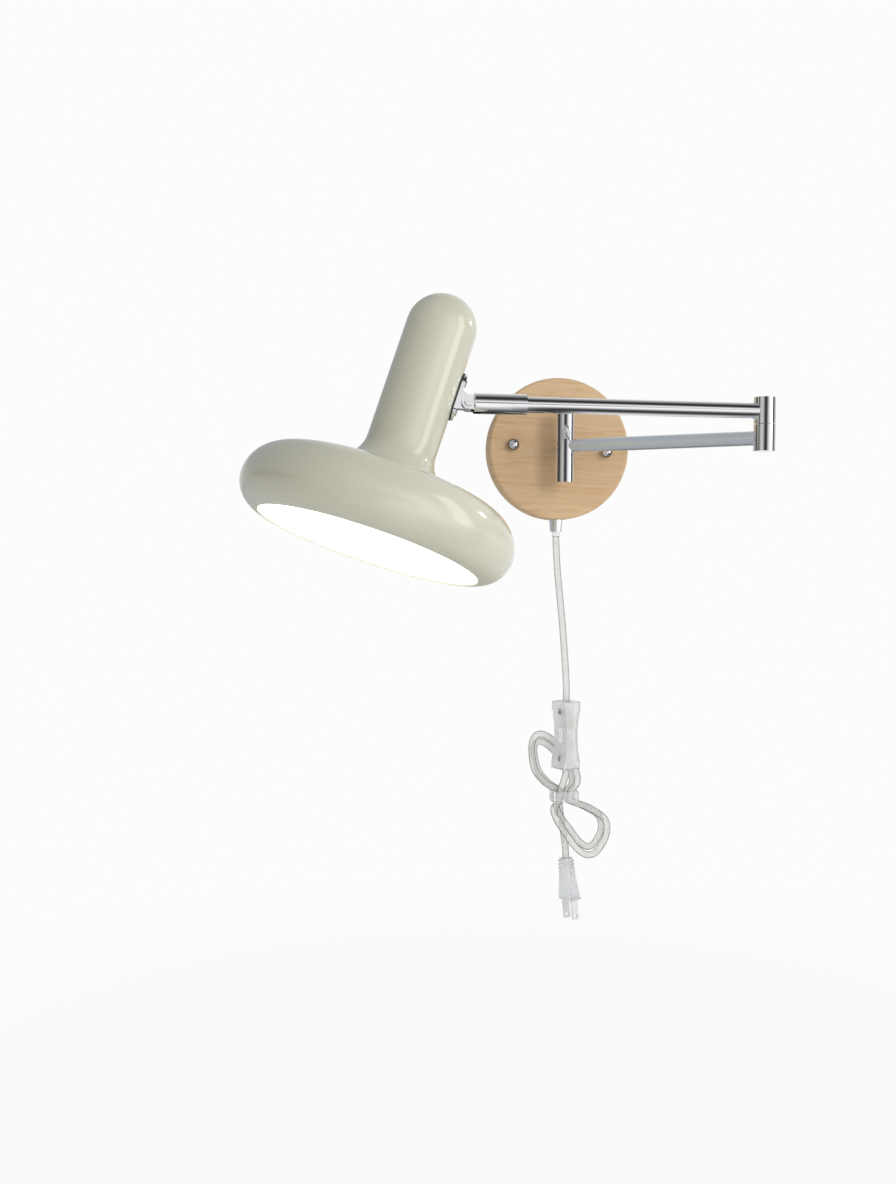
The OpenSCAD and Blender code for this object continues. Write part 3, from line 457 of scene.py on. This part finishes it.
def paint_shade(sheet, outside, inside, lip, glow):
    """Enamel outside, duller where it rolls under, and a white lining inside that glows with painted
    light.
    """
    place = sheet.place()
    facing = sheet.node("ShaderNodeTexCoord", out="Normal")
    from_mouth = sheet.vector_maths("SUBTRACT", place, tuple(MOUTH_AT))
    axis = tuple(SHADE_AXIS)
    height = sheet.dot(from_mouth, axis)
    along = sheet.node("ShaderNodeVectorMath", {"operation": "SCALE"}, {0: axis, "Scale": height})
    flat = sheet.vector_maths("SUBTRACT", from_mouth, along)
    radius = sheet.length(flat)
    facing_out = sheet.dot(facing, sheet.vector_maths("NORMALIZE", flat))
    facing_up = sheet.dot(facing, axis)
    in_column = 1 - sheet.soft_step(radius, *COLUMN_RADIUS)
    dome = sheet.maths("MAXIMUM", height - DOME_HEIGHT, 0.0)
    column_side = radius * facing_out + dome * facing_up
    ring_side = (radius - BULGE_RADIUS) * facing_out + (height - BULGE_HEIGHT) * facing_up
    side = ring_side + (column_side - ring_side) * in_column
    is_outside = sheet.soft_step(side, *WALL_SIDES)
    is_low = 1 - sheet.soft_step(height, *LIP_HEIGHT)
    is_lip = is_low * (1 - sheet.soft_step(radius, *LIP_RADIUS))
    gloss = is_outside * sheet.soft_step(sheet.parts(facing)[2], *ROLLED_UNDER)
    peel = sheet.noise(place, 900.0, 2.0)
    cloud = sheet.noise(place, 9.0, 2.0)
    enamel = sheet.mottled(outside, cloud, 0.985, 1.015)
    painted = sheet.mix(is_outside, tone(inside, 1.0), enamel)
    # Painted light: the lining glows by itself in place of the bulb's light falling on it.
    lit = sheet.mix(is_outside, tone(inside, glow), NO_LIGHT)
    values = {
        "Base Color": sheet.mix(is_lip, painted, tone(lip, 1.0)),
        "Roughness": 0.48 - gloss * 0.30 + cloud * 0.03,
        "Coat Weight": gloss * 0.8,
        "Coat Roughness": 0.05,
        "Emission Color": sheet.mix(is_lip, lit, NO_LIGHT),
        "Emission Strength": 1.0,
        "Normal": sheet.bump(peel, 0.01, 0.0001),
    }
    sheet.surface(values)


# How clear and how rough each clear plastic is, and from where to where it turns to its painted
# edge shade, from straight ahead at 0 to edge on at 1.
MOULDED_CLEARNESS, MOULDED_HAZE = 0.66, 0.22
TIE_CLEARNESS, TIE_HAZE = 0.85, 0.14
JACKET_CLEARNESS, JACKET_HAZE = 0.68, 0.14
MOULDED_EDGE_SHADE_RANGE = (0.15, 0.75)
JACKET_EDGE_SHADE_RANGE = (0.05, 0.5)


def paint_clear_plastic(sheet, colour, edge, clearness, haziness, rim=MOULDED_EDGE_SHADE_RANGE):
    """Milky clear plastic with painted shade that makes it greyer where it is seen edge on."""
    haze = sheet.noise(sheet.place(), 60.0, 2.0)
    milk = sheet.mottled(colour, haze, 0.97, 1.02)
    # Painted shade: the colour turns to the darker edge tint where the plastic is seen edge on.
    painted_edge_shade = sheet.soft_step(sheet.facing_away(), *rim)
    values = {
        "Base Color": sheet.mix(painted_edge_shade, milk, tone(edge, 1.0)),
        "Roughness": haziness + haze * 0.06,
        "IOR": 1.25,
        "Transmission Weight": clearness,
    }
    sheet.surface(values)


def paint_white_plastic(sheet, colour):
    """Moulded plastic with a fine even grain."""
    grain = sheet.noise(sheet.place(), 1100.0, 2.0)
    values = {
        "Base Color": sheet.mottled(colour, grain, 0.97, 1.02),
        "Roughness": 0.36 + grain * 0.08,
        "Normal": sheet.bump(grain, 0.05, 0.0002),
    }
    sheet.surface(values)


def paint_rubber(sheet, colour):
    """Dull black rubber."""
    grain = sheet.noise(sheet.place(), 1400.0, 2.0)
    values = {
        "Base Color": sheet.mottled(colour, grain, 0.8, 1.3),
        "Roughness": 0.62 + grain * 0.15,
        "Normal": sheet.bump(grain, 0.12, 0.0002),
    }
    sheet.surface(values)


def paint_bulb(sheet, colour, glow):
    """Frosted glass, lit from within."""
    frost = sheet.noise(sheet.place(), 700.0, 2.0)
    values = {
        "Base Color": sheet.mottled(colour, frost, 0.97, 1.02),
        "Roughness": 0.3 + frost * 0.12,
        "Emission Color": sheet.mottled(colour, frost, glow, glow * 1.02),
        "Emission Strength": 1.0,
    }
    sheet.surface(values)


# The cord's route, the same points and formula as the lamp's source, in millimetres.
CORD_TOP = (0.0, -11.0, -74.0)
UPPER_ROUTE = [
    CORD_TOP,
    (0.3, -11.3, -84.0),
    (1.5, -12.5, -105.0),
    (3.8, -14.5, -130.0),
    (5.8, -17.0, -155.0),
    (7.2, -20.0, -180.0),
    (8.0, -22.5, -200.0),
    (8.0, -23.0, -208.2),
    (8.0, -23.0, -214.0),
]
SWITCH_ROUTE = [(8.0, -23.0, -228.0), (8.0, -23.0, -243.0), (8.0, -23.0, -258.0)]
SWITCH_BOTTOM = (8.0, -23.0, -272.0)
TAIL_ROUTE = [(7.0, -11.9, -318.0), (9.8, -11.2, -333.0), (11.2, -11.0, -343.0)]
PLUG_TOP = (11.6, -10.8, -351.6)
# The hank in its tie: how far it reaches down and up, its waist at the outer and the inner turn,
# its lobes and how they lean, and how each turn steps, shrinks and swings back behind the switch.
TIE_AT = (8.2, -17.4, -296.2)
TIE_HALF = 4.5
LOWER_REACH, UPPER_REACH = 52.5, 57.0
OUTER_WAIST, INNER_WAIST = 5.4, 3.2
LOWER_LOBE_W, UPPER_LOBE_W = 15.4, 14.2
LOWER_LEAN, UPPER_LEAN = 22.0, -20.0
OPENING, LEANING = 0.3, 0.6
TURN_STEP = 4.2
SET_BACK = 9.4
SHRINK = 0.12
LOBE_STEP, INNER_STEP = 3.0, 3.6
FULLNESS = 6.0
BEHIND = 0.6
TURNS = 2
RING_TURNS = [0, 5, 12, 24, 40, 58, 75, 90, 105, 122, 140, 156, 168, 175]
# How far the hank's last point is carried straight down, in widths of the cord.
END_DROP = 1.4

# The cord's mesh: steps of the curve between two points of the route, points round its section,
# and how deep and how wide the pinch between its two cores is, in parts of the section.
CURVE_STEPS = 4
SECTION_POINTS = 20
PINCH_DEPTH, PINCH_WIDTH = 0.22, 0.14


def limit(value):
    """A value kept between 0 and 1."""
    return max(0.0, min(1.0, value))


def rise(value):
    """From 0 to 1 along a quarter of a wave."""
    return math.sin(math.pi / 2 * limit(value))


def hank_point(turned):
    """A point of the hank for the degrees turned since its start in the tie."""
    s = abs(math.sin(math.radians(turned)))
    low = math.sin(math.radians(turned)) >= 0
    turns = turned / 360
    reach = (LOWER_REACH if low else UPPER_REACH) * (1 - SHRINK * turns)
    free = max(0.0, (s - TIE_HALF / reach) / (1 - TIE_HALF / reach))
    lobe = LOWER_LOBE_W - LOBE_STEP * turns if low else UPPER_LOBE_W - INNER_STEP * limit(turns - 1)
    side = math.cos(math.radians(turned))
    full = FULLNESS * math.sin(math.pi * free) if low and side > 0 else 0.0
    lean = LOWER_LEAN * rise(free / LEANING) if low else UPPER_LEAN * free
    waist = OUTER_WAIST + (INNER_WAIST - OUTER_WAIST) * limit(turns - 0.5)
    back = limit(s / BEHIND)
    set_back = 0.0 if low else SET_BACK * back * back * (3 - 2 * back)
    return (
        TIE_AT[0] - side * (waist + lobe * rise(free / OPENING) + full) + lean,
        TIE_AT[1] - TURN_STEP + TURN_STEP * turns + set_back,
        TIE_AT[2] + (-reach if low else reach) * s,
    )


def cord_route(width):
    """Every point of the cord from the gland through the switch and the hank to the plug."""
    points = [*UPPER_ROUTE, *SWITCH_ROUTE, SWITCH_BOTTOM]
    points.append(Vector(SWITCH_BOTTOM) - Vector((0, 0, width)))
    for half in range(2 * TURNS):
        points += [hank_point(180 * half + turned) for turned in RING_TURNS]
    last = hank_point(360 * TURNS)
    end = Vector(last) - Vector((0, 0, width * END_DROP))
    points += [last, end, *TAIL_ROUTE, PLUG_TOP]
    return [Vector(point) * MM for point in points]


def eased(points, steps):
    """A smooth curve through points, with the same number of steps between each two."""
    smooth = []
    for i in range(len(points) - 1):
        a, b = points[max(i - 1, 0)], points[i]
        c, d = points[i + 1], points[min(i + 2, len(points) - 1)]
        for j in range(steps):
            t = j / steps
            smooth.append(
                0.5 * (2 * b + (c - a) * t + (2 * a - 5 * b + 4 * c - d) * t * t
                       + (3 * b - a - 3 * c + d) * t * t * t)
            )
    return smooth + [points[-1]]


def swept(name, path, section, deep_toward):
    """A closed tube along a path, from a section of (across, deep) pairs, deep turned one way."""
    mesh = bmesh.new()
    rings = []
    for i, point in enumerate(path):
        heading = (path[min(i + 1, len(path) - 1)] - path[max(i - 1, 0)]).normalized()
        across = heading.cross(deep_toward).normalized()
        deep = across.cross(heading)
        rings.append([mesh.verts.new(point + across * u + deep * v) for u, v in section])
    count = len(section)
    for low, high in zip(rings, rings[1:]):
        for k in range(count):
            mesh.faces.new((low[k], low[(k + 1) % count], high[(k + 1) % count], high[k]))
    mesh.faces.new(list(reversed(rings[0])))
    mesh.faces.new(rings[-1])
    bmesh.ops.recalc_face_normals(mesh, faces=mesh.faces)
    return finished_piece(name, mesh)


def finished_piece(name, mesh):
    """A smooth object in the scene, made from a mesh that isn't needed after it."""
    data = bpy.data.meshes.new(name)
    mesh.to_mesh(data)
    mesh.free()
    for polygon in data.polygons:
        polygon.use_smooth = True
    piece = bpy.data.objects.new(name, data)
    bpy.context.scene.collection.objects.link(piece)
    return piece


def flat_cord_section(width, thickness):
    """Two cores side by side under one jacket: an oval pinched in the middle."""
    points = []
    for k in range(SECTION_POINTS):
        angle = 2 * math.pi * k / SECTION_POINTS
        across = width / 2 * math.cos(angle)
        pinch = 1 - PINCH_DEPTH * math.exp(-((across / (width * PINCH_WIDTH)) ** 2))
        points.append((across, thickness / 2 * math.sin(angle) * pinch))
    return points


# Sizes and colours that a user would change


def colour_setting(name, description, default):
    """A colour that the panel shows."""
    return bpy.props.FloatVectorProperty(
        name=name, description=description, subtype="COLOR", size=3, min=0, max=1, default=default,
    )


class WallLampLook(bpy.types.PropertyGroup):
    wood: colour_setting("Wood", "Colour of the wooden plate", (0.62, 0.432, 0.252))
    chrome: colour_setting("Chrome", "Tint of the chrome", (0.93, 0.94, 0.95))
    steel: colour_setting("Steel", "Tint of the plain steel", (0.55, 0.56, 0.58))
    nickel: colour_setting("Nickel", "Tint of the plug's blades and the tilt nut", (0.90, 0.90, 0.89))
    brass: colour_setting("Brass", "Tint of the brass", (0.72, 0.50, 0.20))
    enamel: colour_setting("Enamel", "Colour of the shade outside", (0.575, 0.567, 0.45))
    lining: colour_setting("Lining", "Colour of the shade inside", (0.93, 0.93, 0.92))
    # The lip colour is a tan band on the thin end face of the mouth, which gets no glow.
    lip: colour_setting("Lip", "Colour of the bare edge round the shade's mouth", (0.62, 0.55, 0.42))
    # The bulb is a lamp; the lining's glow is painted light.
    glow: bpy.props.FloatProperty(
        name="Glow", description="How brightly the lining and the bulb are lit",
        default=0.9, min=0, max=2,
    )
    clear_plastic: colour_setting(
        "Clear plastic", "Tint of the switch, the tie and the cord's bush", (0.97, 0.975, 0.985)
    )
    plug_plastic: colour_setting(
        "Plug plastic", "Tint of the plug's thicker plastic", (0.75, 0.76, 0.77)
    )
    # The two edge tints are painted shade on the clear plastic and the cord where they are seen edge on.
    plastic_painted_edge_shade: colour_setting(
        "Plastic edge", "Tint of the clear plastic seen edge on", (0.86, 0.87, 0.88)
    )
    jacket_painted_edge_shade: colour_setting(
        "Jacket edge", "Tint of the cord's jacket seen edge on", (0.24, 0.24, 0.22)
    )
    cord_jacket: colour_setting("Cord jacket", "Tint of the cord's clear jacket", (0.80, 0.80, 0.78))
    white_plastic: colour_setting(
        "White plastic", "Colour of the rocker and the lamp holder", (0.85, 0.85, 0.82)
    )
    rubber: colour_setting("Rubber", "Colour of the gasket", (0.03, 0.03, 0.03))
    bulb: colour_setting("Bulb", "Colour of the frosted bulb", (0.90, 0.90, 0.88))
    cord_width: bpy.props.FloatProperty(
        name="Cord width", description="Width of the flat cord", subtype="DISTANCE", unit="LENGTH",
        default=0.0058, min=0.004, max=0.007,
    )
    cord_thickness: bpy.props.FloatProperty(
        name="Cord thickness", description="Thickness of the flat cord", subtype="DISTANCE",
        unit="LENGTH", default=0.0034, min=0.002, max=0.004,
    )
    backdrop: bpy.props.FloatProperty(
        name="Backdrop", description="Brightness of the background", default=0.975, min=0, max=1,
    )
    key_power: bpy.props.FloatProperty(
        name="Key light", description="Power of the soft light from the right", unit="POWER",
        default=2.8, min=0, max=100,
    )


# Operators


class WALLLAMP_OT_stage(bpy.types.Operator):
    """Sets the camera, the floor, the soft lights and the pale surroundings"""

    bl_idname = "wall_lamp.stage"
    bl_label = "Stage"

    def execute(self, context):
        look = scene_look()
        self.place_camera()
        self.lay_floor(look)
        self.hang_lights(look)
        self.paint_world(look)
        bpy.context.scene.view_settings.view_transform = "Standard"
        return {"FINISHED"}

    def place_camera(self):
        yaw, pitch, roll = CAMERA_YAW, CAMERA_PITCH, CAMERA_ROLL
        level = math.cos(pitch)
        ahead = Vector((math.sin(yaw) * level, math.cos(yaw) * level, -math.sin(pitch)))
        right = Vector((math.cos(yaw), -math.sin(yaw), 0))
        up = right.cross(ahead)
        level_right = right * math.cos(roll) + up * math.sin(roll)
        level_up = up * math.cos(roll) - right * math.sin(roll)
        turn = Matrix((level_right, level_up, -ahead)).transposed()
        data = bpy.data.cameras.new("photo_camera")
        data.sensor_fit = "HORIZONTAL"
        data.sensor_width = SENSOR_MM
        data.lens = FOCAL_PX / IMAGE_W * SENSOR_MM
        data.clip_start = NEAREST_SEEN
        camera = bpy.data.objects.new("photo_camera", data)
        camera.matrix_world = Matrix.Translation(Vector(CAMERA_AT) * MM) @ turn.to_4x4()
        bpy.context.scene.collection.objects.link(camera)
        bpy.context.scene.camera = camera

    def lay_floor(self, look):
        mesh = bmesh.new()
        bmesh.ops.create_circle(mesh, cap_ends=True, segments=FLOOR_SIDES, radius=FLOOR_RADIUS)
        floor = finished_piece("floor", mesh)
        floor.location = FLOOR_AT
        floor.data.materials.append(new_finish("pale_floor", self.paint_floor, look.backdrop))

    def paint_floor(self, sheet, brightness):
        """White to the eye with the lamp's shadow, and left out of reflections of the panels."""
        lit = sheet.node("ShaderNodeBsdfDiffuse", None, {"Color": FLOOR_PAINT})
        flat = sheet.node("ShaderNodeEmission", None, {"Color": grey(brightness), "Strength": 1.0})
        away = sheet.soft_step(sheet.length(sheet.place()), *SHADOW_FADE)
        white = sheet.seen_straight() * (FLOOR_WHITE + away * (1 - FLOOR_WHITE))
        both = sheet.node("ShaderNodeMixShader", None, [white, lit, flat])
        glossy = sheet.node("ShaderNodeLightPath", out="Is Glossy Ray")
        left_out = sheet.node("ShaderNodeBsdfTransparent")
        floor = sheet.node("ShaderNodeMixShader", None, [glossy, both, left_out])
        sheet.node("ShaderNodeOutputMaterial", None, {"Surface": floor})

    def hang_lights(self, look):
        for name, (place, size, share, mirrored) in LAMPS.items():
            data = bpy.data.lights.new(name, "AREA")
            data.shape = "RECTANGLE"
            data.size, data.size_y = size
            data.energy = look.key_power * share
            light = bpy.data.objects.new(name, data)
            light.location = place
            aim = LAMPS_AIM - Vector(place)
            light.rotation_euler = aim.to_track_quat("-Z", "Y").to_euler()
            light.visible_camera = False
            light.visible_glossy = mirrored
            bpy.context.scene.collection.objects.link(light)

    def paint_world(self, look):
        """White to the eye, soft light on surfaces, and pale panels with dark gaps in reflections."""
        world = bpy.data.worlds.new("studio")
        world.use_nodes = True
        sheet = NodeSheet(world.node_tree)
        x, y, z = sheet.parts(sheet.node("ShaderNodeTexCoord", out="Generated"))
        toward = 0.0 - y
        turned = sheet.maths("ARCTAN2", x, toward)
        lifted = sheet.maths("ARCTAN2", z, toward)
        below = 1 - sheet.soft_step(lifted, *HORIZON)
        pull = below * (1 - sheet.soft_step(x, *RIGHT_SIDE)) * LOWER_PULL
        level = self.panels(sheet, turned, LEVEL_PANELS)
        upright = self.panels(sheet, lifted * (1 - pull), UPRIGHT_PANELS)
        upright = sheet.mix(sheet.soft_step(x, *LEFT_TO_RIGHT), LEFT_WALL, upright)
        steep = sheet.soft_step(sheet.maths("ABSOLUTE", z - LEVEL_MIDDLE), *LEVEL_TO_STEEP)
        studio = sheet.mix(steep, level, upright)
        ambient = sheet.mix(sheet.soft_step(z, -1.0, 1.0), AMBIENT_BELOW, AMBIENT_ABOVE)
        glossy = sheet.node("ShaderNodeLightPath", out="Is Glossy Ray")
        colour = sheet.mix(glossy, ambient, studio)
        colour = sheet.mix(sheet.seen_straight(), colour, grey(look.backdrop))
        background = sheet.node("ShaderNodeBackground", None, {"Color": colour, "Strength": 1.0})
        sheet.node("ShaderNodeOutputWorld", None, {"Surface": background})
        bpy.context.scene.world = world

    def panels(self, sheet, angle, table):
        """Brightness of the studio round a circle; the table gives degrees and brightness."""
        stops = []
        for degrees, brightness in table:
            colour = (brightness, brightness, brightness * PANEL_BLUE, 1.0)
            stops.append((degrees / 360 + 0.5, colour))
        return sheet.node("ShaderNodeValToRGB", {"stops": stops}, [angle / (2 * math.pi) + 0.5])


class WALLLAMP_OT_cord(bpy.types.Operator):
    """Runs the flat cord from the gland through the switch and the hank to the plug"""

    bl_idname = "wall_lamp.cord"
    bl_label = "Cord"

    def execute(self, context):
        look = scene_look()
        path = eased(cord_route(look.cord_width / MM), CURVE_STEPS)
        section = flat_cord_section(look.cord_width, look.cord_thickness)
        toward_wall = Vector((0, 1, 0))
        cord = swept("flat_cord", path, section, toward_wall)
        jacket = new_finish(
            "cord_jacket", paint_clear_plastic, look.cord_jacket, look.jacket_painted_edge_shade,
            JACKET_CLEARNESS, JACKET_HAZE, JACKET_EDGE_SHADE_RANGE,
        )
        cord.data.materials.append(jacket)
        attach(cord, "wall_unit")
        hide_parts("cord_upper", "cord_hank", "cord_tail")
        length = sum((b - a).length for a, b in zip(path, path[1:]))
        return {"FINISHED"}


class WALLLAMP_OT_wood(bpy.types.Operator):
    """Gives the wall plate its fine straight grain"""

    bl_idname = "wall_lamp.wood"
    bl_label = "Wood"

    def execute(self, context):
        dress(new_finish("oiled_wood", paint_wood, scene_look().wood), "wall_plate")
        return {"FINISHED"}


class WALLLAMP_OT_metal(bpy.types.Operator):
    """Finishes the chrome, the plain steel and the brass"""

    bl_idname = "wall_lamp.metal"
    bl_label = "Metal"

    def execute(self, context):
        look = scene_look()
        dress(
            new_finish("polished_chrome", paint_chrome, look.chrome, POLISHED),
            "stem", "cord_gland", "post_barrel", "post_caps", "elbow_lower",
            "elbow_bottom_cap", "elbow_upper", "elbow_top_cap", "upper_arm",
            "swivel_sleeve", "tilt_screw", "tilt_lug",
        )
        dress(new_finish("soft_chrome", paint_chrome, look.chrome, SOFT), "arm_collar")
        dress(new_finish("satin_chrome", paint_chrome, look.chrome, SATIN), "lower_arm")
        # The cap nuts get a painted dark reflection round their edges.
        dress(new_finish("chrome_with_painted_dark_rim", paint_chrome, look.chrome, POLISHED, 1.0), "cap_nuts")
        dress(new_finish("pale_nickel", paint_nickel, look.nickel), "plug_blades", "tilt_nut")
        dress(
            new_finish("plain_steel", paint_brushed_steel, look.steel),
            "wall_bracket", "bracket_studs", "stem_washer", "stem_nut", "hinge_spindle", "elbow_pin",
            "elbow_clip", "switch_screw", "swivel_screw", "lug_screws",
            "holder_bracket", "holder_nut", "bulb_cap",
        )
        dress(
            new_finish("plain_brass", paint_brass, look.brass),
            "terminal_screws", "supply_leads", "switch_contacts", "lower_leads", "upper_leads",
            "holder_thread", "holder_contact",
        )
        return {"FINISHED"}


class WALLLAMP_OT_shade(bpy.types.Operator):
    """Enamels the shade, evens the shading of its rings and finishes its gasket in black rubber"""

    bl_idname = "wall_lamp.shade"
    bl_label = "Shade"

    def execute(self, context):
        look = scene_look()
        dress(
            new_finish("shade_enamel", paint_shade, look.enamel, look.lining, look.lip, look.glow),
            "shade_column", "shade_top", "shade_rim",
        )
        even_shading("shade_column", "shade_top", "shade_rim")
        dress(new_finish("black_gasket", paint_rubber, look.rubber), "lug_gasket")
        return {"FINISHED"}


class WALLLAMP_OT_plastic(bpy.types.Operator):
    """Moulds the clear and the white plastic"""

    bl_idname = "wall_lamp.plastic"
    bl_label = "Plastic"

    def execute(self, context):
        look = scene_look()
        moulded = (look.plastic_painted_edge_shade, MOULDED_CLEARNESS, MOULDED_HAZE)
        dress(
            new_finish("clear_plastic", paint_clear_plastic, look.clear_plastic, *moulded),
            "cord_bush", "switch_front", "switch_back",
        )
        dress(new_finish("plug_plastic", paint_clear_plastic, look.plug_plastic, *moulded), "plug_body")
        thin = (look.plastic_painted_edge_shade, TIE_CLEARNESS, TIE_HAZE)
        dress(new_finish("clear_tie", paint_clear_plastic, look.clear_plastic, *thin), "hank_tie")
        dress(
            new_finish("white_plastic", paint_white_plastic, look.white_plastic),
            "terminal_block", "elbow_washer", "switch_rocker", "lamp_holder",
        )
        return {"FINISHED"}


class WALLLAMP_OT_bulb(bpy.types.Operator):
    """Frosts the bulb"""

    bl_idname = "wall_lamp.bulb"
    bl_label = "Bulb"

    def execute(self, context):
        look = scene_look()
        dress(new_finish("frosted_bulb", paint_bulb, look.bulb, look.glow), "bulb_globe")
        return {"FINISHED"}


class WALLLAMP_PT_panel(bpy.types.Panel):
    """Shows the lamp's settings and a button for each step"""

    bl_idname = "WALLLAMP_PT_panel"
    bl_label = "Wall Lamp"
    bl_space_type = "VIEW_3D"
    bl_region_type = "UI"
    bl_category = "Wall Lamp"

    def draw(self, context):
        look = context.scene.wall_lamp_look
        for name in WallLampLook.__annotations__:
            self.layout.prop(look, name)
        for operator in OPERATORS:
            self.layout.operator(operator.bl_idname)


OPERATORS = (
    WALLLAMP_OT_stage,
    WALLLAMP_OT_cord,
    WALLLAMP_OT_wood,
    WALLLAMP_OT_metal,
    WALLLAMP_OT_shade,
    WALLLAMP_OT_plastic,
    WALLLAMP_OT_bulb,
)
CLASSES = (WallLampLook, *OPERATORS, WALLLAMP_PT_panel)


def register():
    for cls in CLASSES:
        bpy.utils.register_class(cls)
    bpy.types.Scene.wall_lamp_look = bpy.props.PointerProperty(type=WallLampLook)


def unregister():
    del bpy.types.Scene.wall_lamp_look
    for cls in reversed(CLASSES):
        bpy.utils.unregister_class(cls)


def main():
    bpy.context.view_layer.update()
    register()
    bpy.ops.wall_lamp.stage()
    bpy.ops.wall_lamp.cord()
    bpy.ops.wall_lamp.wood()
    bpy.ops.wall_lamp.metal()
    bpy.ops.wall_lamp.shade()
    bpy.ops.wall_lamp.plastic()
    bpy.ops.wall_lamp.bulb()
    bpy.context.view_layer.update()


if __name__ == "__main__":
    main()
